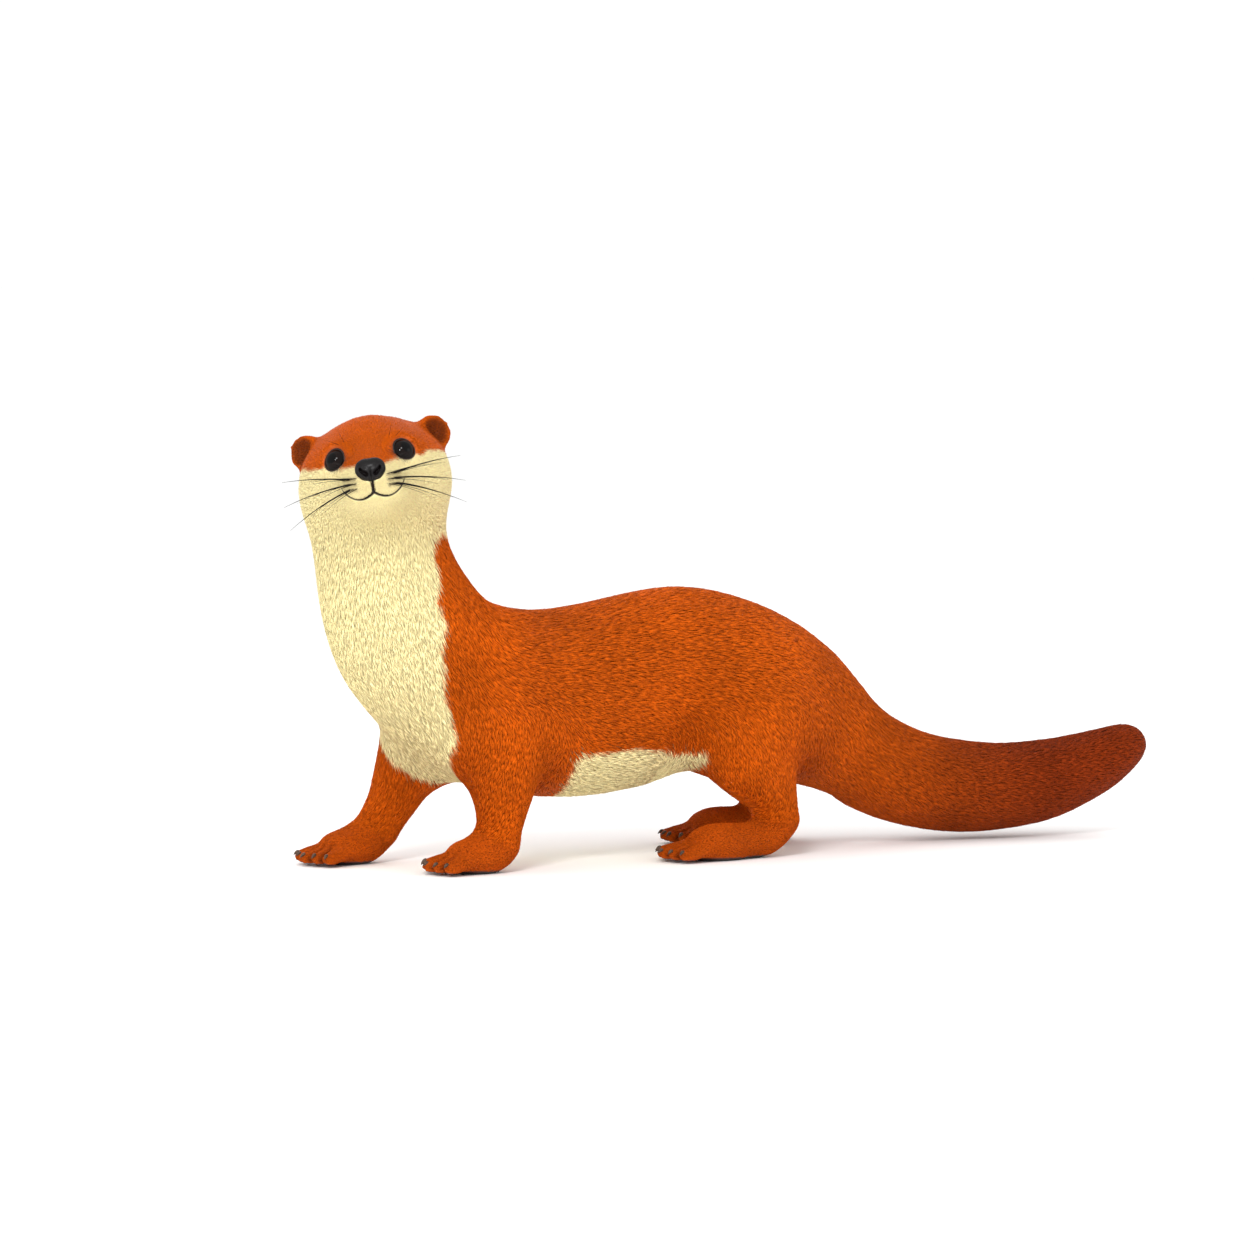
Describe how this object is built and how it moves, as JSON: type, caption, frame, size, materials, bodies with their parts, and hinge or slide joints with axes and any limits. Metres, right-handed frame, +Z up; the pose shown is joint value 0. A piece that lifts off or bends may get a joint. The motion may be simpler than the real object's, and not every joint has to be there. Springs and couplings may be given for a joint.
{
  "type": "asian small-clawed otter",
  "caption": "Life-size standing otter in mid-step: head turned to its left, back arched, thick tail swept back and up at the tip.",
  "frame": {"origin": "on the floor, under the middle of the box round the whole animal", "axes": "+Z up; -X towards the front of the trunk, +X towards the tail; -Y the animal's left, where the face looks"},
  "size_m": [0.6184, 0.1436, 0.2885],
  "materials": {
    "coat": "short dense fur, rufous brown, lying flat along the body",
    "dark_coat": "short dense fur, dark brown",
    "pale_coat": "short dense fur, cream",
    "nose": "bare, moist, pebbled black skin",
    "eye": "wet, almost black, with a dark brown iris",
    "claw": "short blunt dark horn"
  },
  "bodies": {
    "root": {"belly": "coat", "chest": "coat", "ear_left": "coat", "ear_right": "coat", "eye_left": "eye", "eye_right": "eye", "foreleg_left": "coat", "foreleg_right": "coat", "forepaw_left": "coat", "forepaw_left_claw_1": "claw", "forepaw_left_claw_2": "claw", "forepaw_left_claw_3": "claw", "forepaw_left_claw_4": "claw", "forepaw_left_claw_5": "claw", "forepaw_right": "coat", "forepaw_right_claw_1": "claw", "forepaw_right_claw_2": "claw", "forepaw_right_claw_3": "claw", "forepaw_right_claw_4": "claw", "forepaw_right_claw_5": "claw", "head": "coat", "hindleg_left": "coat", "hindleg_right": "coat", "hindpaw_left": "coat", "hindpaw_left_claw_1": "claw", "hindpaw_left_claw_2": "claw", "hindpaw_left_claw_3": "claw", "hindpaw_left_claw_4": "claw", "hindpaw_left_claw_5": "claw", "hindpaw_right": "coat", "hindpaw_right_claw_1": "claw", "hindpaw_right_claw_2": "claw", "hindpaw_right_claw_3": "claw", "hindpaw_right_claw_4": "claw", "hindpaw_right_claw_5": "claw", "hips": "coat", "neck": "pale_coat", "nose": "nose", "tail_base": "coat", "tail_middle": "coat", "tail_tip": "dark_coat"}
  },
  "joints": []
}
